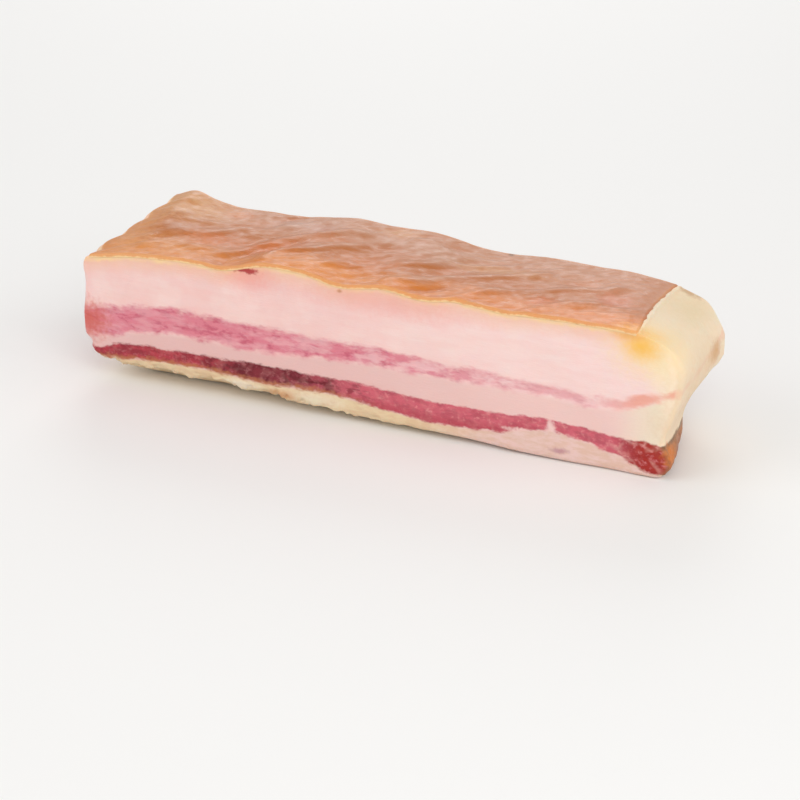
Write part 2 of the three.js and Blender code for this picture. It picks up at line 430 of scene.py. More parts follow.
    def knife_wave(self, x: np.ndarray, z: np.ndarray, v: np.ndarray) -> np.ndarray:
        """Slow wave that the knife left in the two long cuts, at v = 0 and v = 1."""
        start, gap = self.cut_wave_phases
        slanted = x + self.cut_wave_slant * z
        return self.cut_wave * ripple(slanted, self.cut_wave_length, start + gap * v)


@dataclass
class Surface:
    """Points of a mesh under construction, with what its finishes need to know of them."""

    points: np.ndarray
    quads: np.ndarray
    marks: dict[str, np.ndarray] = field(default_factory=dict)


def box_lattice(size: tuple[int, int, int]) -> tuple[np.ndarray, np.ndarray]:
    """Gives the lattice points on a box's six sides, and the quads between them.

    Args:
        size: Lattice steps along each axis.

    Returns:
        Whole-number places (i, j, k) of the points, and four point numbers for each quad, in an
        order that makes every quad face outwards.
    """
    quads = []
    for axis in range(3):
        a, b = (axis + 1) % 3, (axis + 2) % 3
        i, j = np.meshgrid(np.arange(size[a]), np.arange(size[b]), indexing="ij")
        for side in (0, size[axis]):
            ring = [(0, 0), (1, 0), (1, 1), (0, 1)] if side else [(0, 0), (0, 1), (1, 1), (1, 0)]
            corners = np.zeros((i.size, 4, 3), int)
            for n, (da, db) in enumerate(ring):
                corners[:, n, axis] = side
                corners[:, n, a] = (i + da).ravel()
                corners[:, n, b] = (j + db).ravel()
            quads.append(corners)
    corners = np.concatenate(quads)
    flat = corners.reshape(-1, 3)
    key = (flat[:, 0] * (size[1] + 1) + flat[:, 1]) * (size[2] + 1) + flat[:, 2]
    _, first, number = np.unique(key, return_index=True, return_inverse=True)
    return flat[first], number.reshape(-1, 4)


def crowd(t: np.ndarray) -> np.ndarray:
    """Draws lattice lines towards both ends, where the corners are rounded."""
    return mix(t, smoothstep(t, 0.0, 1.0), CROWDING)


def round_off(gaps: np.ndarray, sides: np.ndarray, radius: np.ndarray) -> np.ndarray:
    """Shift that rounds a box's corners.

    Args:
        gaps: Distance of each point to the nearest side along x, y and z.
        sides: Which side that is along each axis, -1 or 1.
        radius: Corner radius at each point.

    Returns:
        The shift of each point.
    """
    offset = sides * np.maximum(radius[:, None] - gaps, 0.0)
    reach = np.maximum(np.linalg.norm(offset, axis=1), 1e-9)
    return offset * np.where(reach > radius, radius / reach - 1.0, 0.0)[:, None]


@dataclass(frozen=True)
class SlabSkin:
    """Carries a divided box to the slab's surface."""

    form: SlabForm
    # lattice
    length_steps: int = 264
    depth_steps: int = 64
    layer_steps: tuple[int, ...] = (6, 11, 9, 10, 28)
    top_crowding: float = 1.8
    first_rise: float = 0.985
    # rim under the rind, and how far the meat lies under it
    rim_radius: float = 0.4
    rim_band: Span = (1.5, 9.0)
    inner_cover: float = 0.5
    inner_band: Span = (0.5, 5.0)
    bare_sink: float = 0.35
    bare_band: Span = (-4.0, 0.0)
    # marks
    end_band: float = 2.5
    wax_heights: tuple[float, ...] = (10.0, 25.0, 32.0, 44.0, 51.0)
    wax_starts: tuple[float, ...] = (107.0, 104.5, 102.0, 96.0, 92.0)
    # relief of the cuts
    lower_dip: Span = (-1.4, 2.4)
    upper_dip: Span = (-0.6, 1.6)
    dip_end: Span = (0.0, 12.0)
    coarse: Relief = Relief(11, (5.0, 5.0, 2.4))
    fine: Relief = Relief(12, (1.9, 1.9, 1.3))
    lean_roughness: Span = (0.22, 0.12)
    # relief of the torn edge
    shreds: Relief = Relief(13, (4.2, 6.0, 1.5))
    shreds_out: Span = (1.3, 0.5)
    shreds_down: Span = (1.2, 0.5)
    torn_up: Span = (0.4, 3.4)
    torn_along: Span = (-34.0, 20.0)
    torn_across: Span = (2.0, 9.0)
    # relief of the ends
    lumps: Relief = Relief(14, (6.5, 8.0, 6.5), 0.45)
    crust_up: Span = (-1.5, 2.0)
    crust_roughness: Span = (0.45, 0.25)

    def row_height(self, row: np.ndarray, x: np.ndarray, y: np.ndarray, cover: float) -> np.ndarray:
        """Height of a lattice row: the rows are shared out layer by layer.

        Args:
            row: Row numbers, from the underside.
            x: Places along the slab.
            y: Places across it.
            cover: How far the last border lies under the rind's surface.

        Returns:
            The height of each row at its place.
        """
        borders = [self.form.border(name, x, y) for name in Border]
        borders[-1] = borders[-1] - self.sunk(x, y, cover)
        borders = np.maximum.accumulate(borders)
        height = borders[0].copy()
        start = 0
        for layer, steps in enumerate(self.layer_steps):
            share = np.clip((row - start) / steps, 0.0, 1.0)
            if layer == len(self.layer_steps) - 1:
                share = 1.0 - (1.0 - share) ** self.top_crowding
            height += share * (borders[layer + 1] - borders[layer])
            start += steps
        return height

    def sunk(self, x: np.ndarray, y: np.ndarray, cover: float) -> np.ndarray:
        """How far the meat lies under the rind's level: least past the rind's right edge."""
        form = self.form
        end, roof = (np.full_like(x, value) for value in (form.half_length, form.thickness))
        edge = form.bend_to_ends(end, y, roof)
        to_cut = np.minimum(y, form.depth - y)
        deep = cover + self.inner_cover * smoothstep(to_cut, *self.inner_band)
        return mix(deep, self.bare_sink, smoothstep(x - edge, *self.bare_band))

    def carry(self, cover: float) -> Surface:
        """Sets every lattice point in its place on the meat.

        Args:
            cover: How deep the meat lies under the rind's surface, in millimetres.

        Returns:
            The meat's surface, with its marks.
        """
        rows = sum(self.layer_steps)
        lattice, quads = box_lattice((self.length_steps, self.depth_steps, rows))
        form = self.form
        u = crowd(lattice[:, 0] / self.length_steps)
        v = crowd(lattice[:, 1] / self.depth_steps)
        row = lattice[:, 2].astype(float)
        nominal = form.half_length * (2.0 * u - 1.0)
        y = form.depth * v
        guess = form.bend_to_ends(nominal, y, form.thickness * self.first_rise * row / rows)
        z = self.row_height(row, guess, y, cover)
        top = form.border(Border.RIND, guess, y)
        x = form.bend_to_ends(nominal, y, form.thickness * z / top)

        to_end = form.half_length - np.abs(nominal)
        to_cut = np.minimum(y, form.depth - y)
        floor = form.border(Border.UNDERSIDE, x, y)
        low = z - floor < top - z
        to_skin = np.where(low, z - floor, top - self.sunk(x, y, cover) - z)
        under_rim = smoothstep(top - z, *self.rim_band)
        radius = mix(self.rim_radius, form.corner_radius(x, y, z), under_rim)
        skin_side = np.where(low, -1.0, 1.0)
        sides = np.stack([np.sign(nominal), np.sign(2.0 * v - 1.0), skin_side], axis=1)
        gaps = np.stack([to_end, to_cut, to_skin], axis=1)
        points = np.stack([x, y, z], axis=1) + round_off(gaps, sides, radius)
        surface = Surface(points, quads)
        self._mark(surface, nominal, top)
        self._relieve(surface, v, to_end)
        return surface

    def _mark(self, surface: Surface, nominal: np.ndarray, top: np.ndarray) -> None:
        """Notes how deep each point lies in the streaks, and how near it is to rind and ends."""
        form = self.form
        x, y, z = surface.points.T
        heights = {name: form.border(name, x, y) for name in Border}
        low_base = z - heights[Border.LOWER_LEAN_BOTTOM]
        low_roof = heights[Border.LOWER_LEAN_TOP] - z
        up_base = z - heights[Border.UPPER_LEAN_BOTTOM]
        up_roof = heights[Border.UPPER_LEAN_TOP] - z
        surface.marks = {
            "lower_lean": np.minimum(low_base, low_roof),
            "lower_base": low_base,
            "upper_lean": np.minimum(up_base, up_roof),
            "upper_base": up_base,
            "below_rind": top - z,
            "wax": x - np.interp(z, self.wax_heights, self.wax_starts),
            "over_table": z - heights[Border.UNDERSIDE],
            "right_end": 1.0 - smoothstep(form.half_length - nominal, 0.0, self.end_band),
            "left_end": 1.0 - smoothstep(form.half_length + nominal, 0.0, self.end_band),
        }

    def _relieve(self, surface: Surface, v: np.ndarray, to_end: np.ndarray) -> None:
        """Gives the cuts dried-back lean, the knife's wave, the torn edge and the lumpy ends."""
        form = self.form
        marks = surface.marks
        points = surface.points
        x, y, z = points.T.copy()
        inward = 1.0 - 2.0 * v
        lean = np.maximum(
            smoothstep(marks["lower_lean"], *self.lower_dip),
            smoothstep(marks["upper_lean"], *self.upper_dip),
        )
        coarse = self.coarse.at(points)
        fine = self.fine.at(points)
        away = smoothstep(to_end, *self.dip_end)
        rough, finer = self.lean_roughness
        points[:, 1] += inward * lean * away * (form.lean_sink + rough * coarse + finer * fine)
        points[:, 1] += form.knife_wave(x, z, v)
        torn = 1.0 - smoothstep(marks["over_table"], *self.torn_up)
        torn = torn * smoothstep(-x, *self.torn_along)
        torn *= 1.0 - smoothstep(y, *self.torn_across)
        shreds = self.shreds.at(points)
        points[:, 1] += torn * (self.shreds_out[0] * np.abs(shreds) + self.shreds_out[1] * fine)
        points[:, 2] += torn * (self.shreds_down[0] * shreds + self.shreds_down[1] * fine)
        ends = np.maximum(marks["right_end"], marks["left_end"])
        lumps = self.lumps.at(points)
        crumpled = smoothstep(form.border(Border.LOWER_LEAN_TOP, x, y) - z, *self.crust_up)
        rough, finer = self.crust_roughness
        points[:, 0] += np.sign(x) * ends * (lumps + crumpled * (rough * coarse + finer * fine))
        points[:, 2] = np.maximum(points[:, 2], 0.0)


@dataclass(frozen=True)
class RindSheet:
    """The rind: a closed sheet over the top, from the scalloped left edge to the shoulder."""

    form: SlabForm
    # lattice
    length_steps: int = 270
    depth_steps: int = 70
    rim_steps: int = 4
    # edge
    edge_radius: float = 0.8
    proud: float = 0.05
    settle: float = 0.12
    settle_reach: float = 6.0
    lip_band: float = 2.5
    lip: Relief = Relief(21, (7.0, 7.0, 30.0))
    lip_out: Span = (0.2, 0.04)
    nicks: Relief = Relief(26, (2.6, 2.6, 30.0), 0.35)
    # creases and dimples
    crease_height: float = 0.32
    crease_band: Span = (0.0, 5.0)
    crease_at_rim: float = 0.3
    crease_end: Span = (0.5, 7.0)
    crease_crest: float = 0.5
    crease_warp: Relief = Relief(22, (26.0, 18.0, 1.0), 3.0)
    broad_creases: Relief = Relief(23, (21.0, 6.5, 1.0))
    narrow_creases: Relief = Relief(24, (9.0, 3.0, 1.0))
    crease_pinch: float = 2.6
    crease_shares: Span = (0.7, 0.3)
    dimples: Relief = Relief(25, (9.0, 6.0, 1.0))
    dimple_span: Span = (0.35, 0.75)
    dimple_depth: float = 0.25

    def carry(self) -> Surface:
        """Sets every lattice point of the sheet in its place.

        Returns:
            The rind's surface, with its marks.
        """
        form = self.form
        lattice, quads = box_lattice((self.length_steps, self.depth_steps, self.rim_steps))
        u = crowd(lattice[:, 0] / self.length_steps)
        v = crowd(lattice[:, 1] / self.depth_steps)
        w = lattice[:, 2] / self.rim_steps
        nominal = form.half_length * (2.0 * u - 1.0)
        y = form.depth * v
        x = form.bend_to_ends(nominal, y, np.full_like(y, form.thickness))
        to_end = form.half_length - np.abs(nominal)
        to_cut = np.minimum(y, form.depth - y)
        rim = np.minimum(to_end, to_cut)
        creases = self._creases(x, y)
        inner = smoothstep(rim, *self.crease_band)
        right_fade = smoothstep(form.half_length - nominal, *self.crease_end)
        crease = self.crease_height * creases * mix(self.crease_at_rim, 1.0, inner) * right_fade
        at_right = 1.0 - smoothstep(form.half_length - nominal, 0.0, self.settle_reach)
        top = form.border(Border.RIND, x, y) + crease - at_right * self.settle
        z = top - form.rind_thickness * (1.0 - w)

        sides = np.stack([np.sign(nominal), np.sign(2.0 * v - 1.0), np.ones_like(w)], axis=1)
        gaps = np.stack([to_end, to_cut, form.rind_thickness * (1.0 - w)], axis=1)
        radius = np.full_like(w, self.edge_radius)
        points = np.stack([x, y, z], axis=1) + round_off(gaps, sides, radius)
        lip = self.lip.at(points)
        nicks = self.nicks.at(points) * (sides[:, 0] > 0.0)
        at_end, at_cut = (1.0 - smoothstep(gap, 0.0, self.lip_band) for gap in (to_end, to_cut))
        points[:, 0] += sides[:, 0] * at_end * (self.proud + self.lip_out[0] * lip + nicks)
        points[:, 1] += sides[:, 1] * at_cut * (self.proud + self.lip_out[1] * lip)
        points[:, 1] += form.knife_wave(x, z, v)
        crest = form.fold(x, y) + self.crease_crest * creases
        marks = {"crest": crest, "rim": rim, "cut_edge": 1.0 - w}
        return Surface(points, quads, marks)

    def _creases(self, x: np.ndarray, y: np.ndarray) -> np.ndarray:
        """Finer creases that run with the folds, pinched at their crests, and a few dimples."""
        lean = self.form.wrinkle_lean
        warp = self.crease_warp.at(np.stack([x, y, 0.0 * x], axis=1))
        along = x * math.cos(lean) + y * math.sin(lean)
        across = y * math.cos(lean) - x * math.sin(lean) + warp
        place = np.stack([along, across, 0.0 * x], axis=1)
        broad = 1.0 - self.crease_pinch * np.abs(self.broad_creases.at(place))
        narrow = 1.0 - self.crease_pinch * np.abs(self.narrow_creases.at(place))
        dimples = smoothstep(self.dimples.at(place), *self.dimple_span)
        wide, close = self.crease_shares
        return wide * broad + close * narrow - dimples * self.dimple_depth / self.crease_height


def make_object(name: str, surface: Surface, shift: np.ndarray) -> bpy.types.Object:
    """Makes a mesh object from a surface.

    Args:
        name: The object's name.
        surface: Points in millimetres, quads and marks.
        shift: What takes the form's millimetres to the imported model's.

    Returns:
        The object, with each mark as a point attribute.
    """
    mesh = bpy.data.meshes.new(name)
    mesh.from_pydata(((surface.points + shift) * MM).tolist(), [], surface.quads.tolist())
    for mark, values in surface.marks.items():
        layer = mesh.attributes.new(mark, "FLOAT", "POINT")
        layer.data.foreach_set("value", values.astype(np.float32))
    mesh.shade_smooth()
    piece = bpy.data.objects.new(name, mesh)
    bpy.context.scene.collection.objects.link(piece)
    return piece


# ---- node trees --------------------------------------------------------------------------------


def linear(colour: Triple) -> tuple[float, float, float, float]:
    """Turns a colour of 0 to 255, as a screen shows it, into the linear one that shaders mix."""
    shown = [c / 255.0 for c in colour]
    return (*(c / 12.92 if c <= 0.04045 else ((c + 0.055) / 1.055) ** 2.4 for c in shown), 1.0)


class Wiring:
    """Adds nodes to a tree and wires them up."""

    def __init__(self, tree: Tree) -> None:
        """Takes the tree to work on."""
        self.tree = tree

    def plug(self, socket: Socket, value: object) -> None:
        """Links a socket to another one, or sets its value."""
        if isinstance(value, Socket):
            self.tree.links.new(value, socket)
        else:
            socket.default_value = value

    def add(self, kind: str, inputs: dict | None = None, **settings: object) -> bpy.types.Node:
        """Adds a node.

        Args:
            kind: The node's type name.
            inputs: Sockets or values for its inputs, by name or number.
            **settings: Properties to set on the node.

        Returns:
            The new node.
        """
        node = self.tree.nodes.new(kind)
        for name, value in settings.items():
            setattr(node, name, value)
        for key, value in (inputs or {}).items():
            self.plug(node.inputs[key], value)
        return node

    def group(self, tree: Tree, inputs: dict) -> Socket:
        """Adds a shared node group and gives its first output."""
        node = self.tree.nodes.new("ShaderNodeGroup")
        node.node_tree = tree
        for key, value in inputs.items():
            self.plug(node.inputs[key], value)
        return node.outputs[0]

    def math(self, operation: str, *values: object) -> Socket:
        """Adds a Math node and gives its result."""
        return self.add("ShaderNodeMath", dict(enumerate(values)), operation=operation).outputs[0]

    def vector(self, operation: str, *values: object) -> Socket:
        """Adds a Vector Math node and gives its vector."""
        node = self.add("ShaderNodeVectorMath", dict(enumerate(values)), operation=operation)
        return node.outputs[0]

    def ramp(
        self, value: object, low: float, high: float, start: float = 0.0, end: float = 1.0
    ) -> Socket:
        """Runs smoothly from start at low to end at high."""
        inputs = {0: value, 1: low, 2: high, 3: start, 4: end}
        if low > high:
            inputs = {0: value, 1: high, 2: low, 3: end, 4: start}
        node = self.add("ShaderNodeMapRange", inputs, interpolation_type="SMOOTHSTEP")
        return node.outputs[0]

    def noise(
        self, place: object, scale: float, detail: float = 2.0, roughness: float = 0.5
    ) -> Socket:
        """Adds a Noise texture and gives its value, 0 to 1."""
        inputs = {"Vector": place, "Scale": scale, "Detail": detail, "Roughness": roughness}
        return self.add("ShaderNodeTexNoise", inputs).outputs["Fac"]

    def centred(self, value: object) -> Socket:
        """Moves a value of 0 to 1 down by a half, so that it swings round 0."""
        return self.math("SUBTRACT", value, 0.5)

    def mark(self, name: str) -> Socket:
        """Reads one of the piece's marks."""
        node = self.add("ShaderNodeAttribute", attribute_name=name, attribute_type="GEOMETRY")
        return node.outputs["Fac"]

    def tint(self, share: object, under: object, over: object) -> Socket:
        """Lays one colour over another by a share of 0 to 1."""
        node = self.add("ShaderNodeMix", data_type="RGBA", clamp_factor=True)
        self.plug(node.inputs[0], share)
        self.plug(node.inputs[6], under)
        self.plug(node.inputs[7], over)
        return node.outputs[2]

    def both(self, *masks: object) -> Socket:
        """Multiplies masks together."""
        result = masks[0]
        for other in masks[1:]:
            result = self.math("MULTIPLY", result, other)
        return result


def new_group(name: str, inputs: dict[str, object], output: str) -> tuple[Tree, dict, object]:
    """Starts a shader node group.

    Args:
        name: The group's name.
        inputs: Each input's default: a number, or three for a vector.
        output: Name of the one output, a number.

    Returns:
        The tree, its input sockets by name, and its output node.
    """
    tree = bpy.data.node_groups.new(name, "ShaderNodeTree")
    for key, value in inputs.items():
        kind = "NodeSocketFloat" if isinstance(value, float) else "NodeSocketVector"
        socket = tree.interface.new_socket(name=key, in_out="INPUT", socket_type=kind)
        socket.default_value = value
    tree.interface.new_socket(name=output, in_out="OUTPUT", socket_type="NodeSocketFloat")
    source = tree.nodes.new("NodeGroupInput")
    return tree, {key: source.outputs[key] for key in inputs}, tree.nodes.new("NodeGroupOutput")


def soft_border_group() -> Tree:
    """Mask of a streak from how deep a point lies in it, with an edge that wanders and frays."""
    defaults = {"Place": ORIGIN, "Depth": 0.0, "Wander": 1.0, "Fray": 0.5, "Feather": 0.4}
    tree, given, end = new_group("soft_border", defaults, "Mask")
    w = Wiring(tree)
    stretched = w.vector("MULTIPLY", given["Place"], (0.5, 0.5, 1.0))
    slow = w.math("MULTIPLY", w.centred(w.noise(stretched, 0.3)), given["Wander"])
    quick = w.math("MULTIPLY", w.centred(w.noise(stretched, 1.1, 4.0, 0.6)), given["Fray"])
    shift = w.math("MULTIPLY_ADD", slow, 2.0, w.math("MULTIPLY", quick, 2.0))
    scaled = w.math("DIVIDE", w.math("ADD", given["Depth"], shift), given["Feather"])
    w.plug(end.inputs["Mask"], w.ramp(scaled, -1.0, 1.0))
    return tree


def fibre_group() -> Tree:
    """Streaky value of 0 to 1, drawn out along the fibres of the meat."""
    defaults = {"Place": ORIGIN, "Stretch": (0.3, 0.3, 1.0), "Scale": 1.0}
    defaults |= {"Low": 0.35, "High": 0.65}
    tree, given, end = new_group("fibres", defaults, "Value")
    w = Wiring(tree)
    drawn = w.vector("MULTIPLY", given["Place"], given["Stretch"])
    bend = w.add("ShaderNodeTexNoise", {"Vector": drawn, "Scale": 0.25, "Detail": 1.0})
    pulled = w.vector("MULTIPLY_ADD", bend.outputs["Color"], (1.6, 1.6, 1.6), drawn)
    weave = w.noise(pulled, given["Scale"], 3.6, 0.6)
    span = {0: weave, 1: given["Low"], 2: given["High"]}
    node = w.add("ShaderNodeMapRange", span, interpolation_type="SMOOTHSTEP")
    w.plug(end.inputs["Value"], node.outputs[0])
    return tree


def spot_group() -> Tree:
    """Mask of one patch with a soft uneven outline."""
    defaults = {"Place": ORIGIN, "Centre": ORIGIN, "Reach": (1.0, 1.0, 1.0)}
    defaults |= {"Softness": 0.4, "Wander": 0.5}
    tree, given, end = new_group("spot", defaults, "Mask")
    w = Wiring(tree)
    away = w.vector("DIVIDE", w.vector("SUBTRACT", given["Place"], given["Centre"]), given["Reach"])
    gap = w.add("ShaderNodeVectorMath", {0: away}, operation="LENGTH").outputs["Value"]
    uneven = w.math("MULTIPLY", w.centred(w.noise(given["Place"], 0.7, 3.0)), given["Wander"])
    gap = w.math("MULTIPLY_ADD", uneven, 2.0, gap)
    inside = w.math("DIVIDE", w.math("SUBTRACT", 1.0, gap), given["Softness"])
    w.plug(end.inputs["Mask"], w.ramp(inside, -1.0, 1.0))
    return tree


@dataclass
class Effects:
    """Shader effects that the finishes share."""

    border: Tree = field(default_factory=soft_border_group)
    fibres: Tree = field(default_factory=fibre_group)
    spot: Tree = field(default_factory=spot_group)


class Canvas(Wiring):
    """Wiring of one material, with the shared effects and the place in the form's millimetres."""

    def __init__(self, name: str, effects: Effects, shift: np.ndarray) -> None:
        """Starts the material.

        Args:
            name: The material's name.
            effects: The shared node groups.
            shift: Millimetres from the form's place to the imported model's.
        """
        self.material = bpy.data.materials.new(name)
        self.material.use_nodes = True
        super().__init__(self.material.node_tree)
        self.effects = effects
        self.shader = self.tree.nodes["Principled BSDF"]
        metres = self.add("ShaderNodeTexCoord").outputs["Object"]
        back = tuple(float(-s) for s in shift)
        self.place = self.vector("MULTIPLY_ADD", metres, (1.0 / MM,) * 3, back)
        self.along, self.across, _ = self.add("ShaderNodeSeparateXYZ", {0: self.place}).outputs

    def cloud(self, scale: float, detail: float = 2.0, roughness: float = 0.5) -> Socket:
        """Gives noise of 0 to 1 over the piece."""
        return self.noise(self.place, scale, detail, roughness)

    def sway(self, base: object, reach: float, scale: float, detail: float = 2.0) -> Socket:
        """Lets a value swing by noise, by up to half of the reach either way."""
        return self.math("MULTIPLY_ADD", self.centred(self.cloud(scale, detail)), reach, base)

    def lay(self, under: object, over: Triple, *masks: object) -> Socket:
        """Lays a plain colour over another one, by the product of the masks."""
        return self.tint(self.both(*masks), under, linear(over))


@dataclass(frozen=True)
class Streak:
    """Mask of one layer of the meat, from the mark that tells how deep a point lies in it."""

    mark: str
    wander: float
    fray: float
    feather: float

    def mask(self, w: Canvas) -> Socket:
        """Gives the mask, 0 to 1."""
        inputs = {"Place": w.place, "Depth": w.mark(self.mark), "Wander": self.wander}
        return w.group(w.effects.border, inputs | {"Fray": self.fray, "Feather": self.feather})


@dataclass(frozen=True)
class Fibres:
    """One weave of fibres: how it is drawn out, how fine it is, and where it sets in and fills."""

    stretch: Triple
    scale: float
    low: float = 0.35
    high: float = 0.65

    def value(self, w: Canvas) -> Socket:
        """Gives the weave, 0 to 1."""
        inputs = {"Place": w.place, "Stretch": self.stretch, "Scale": self.scale}
        return w.group(w.effects.fibres, inputs | {"Low": self.low, "High": self.high})


@dataclass(frozen=True)
class Patch:
    """One coloured patch on the meat or the rind."""

    colour: Triple
    centre: Triple
    reach: Triple
    softness: float = 0.5
    wander: float = 0.5
    strength: float = 1.0

    def mask(self, w: Canvas) -> Socket:
        """Gives the patch's mask, 0 to 1."""
        inputs = {"Place": w.place, "Centre": self.centre, "Reach": self.reach}
        return w.group(w.effects.spot, inputs | {"Softness": self.softness, "Wander": self.wander})

    def lay(self, w: Canvas, colour: object) -> Socket:
        """Lays the patch over a colour."""
        return w.lay(colour, self.colour, self.mask(w), self.strength)


@dataclass(frozen=True)
class Gloss:
    """How a surface shines, and how far light gets into it."""

    dull: float
    shiny: float
    patch_scale: float
    specular: float
    glow: float
    glow_colour: Triple
    glow_depth: float

    def apply(self, w: Canvas) -> None:
        """Sets the shader's gloss and softness to light."""
        patchy = w.ramp(w.cloud(self.patch_scale, 3.0), 0.3, 0.7, self.dull, self.shiny)
        settings = {
            "Roughness": patchy,
            "Specular IOR Level": self.specular,
            "Subsurface Weight": self.glow,
            "Subsurface Radius": self.glow_colour,
            "Subsurface Scale": self.glow_depth,
        }
        for name, value in settings.items():
            w.plug(w.shader.inputs[name], value)


@dataclass(frozen=True)
class Finish:
    """One material. Each kind of finish paints it in its own way."""

    name: str
    gloss: Gloss
    patches: tuple[Patch, ...]

    def build(self, effects: Effects, shift: np.ndarray) -> bpy.types.Material:
        """Makes the material.

        Args:
            effects: The shared node groups.
            shift: Millimetres from the form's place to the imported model's.

        Returns:
            The finished material.
        """
        w = Canvas(self.name, effects, shift)
        colour, height = self.paint(w)
        w.plug(w.shader.inputs["Base Color"], colour)
        self.gloss.apply(w)
        inputs = {"Strength": BUMP_STRENGTH, "Distance": BUMP_HEIGHT, "Height": height}
        w.plug(w.shader.inputs["Normal"], w.add("ShaderNodeBump", inputs).outputs["Normal"])
        return w.material

    def paint(self, w: Canvas) -> tuple[Socket, Socket]:
        """Gives the colour, and the height of the finest relief."""
        raise NotImplementedError


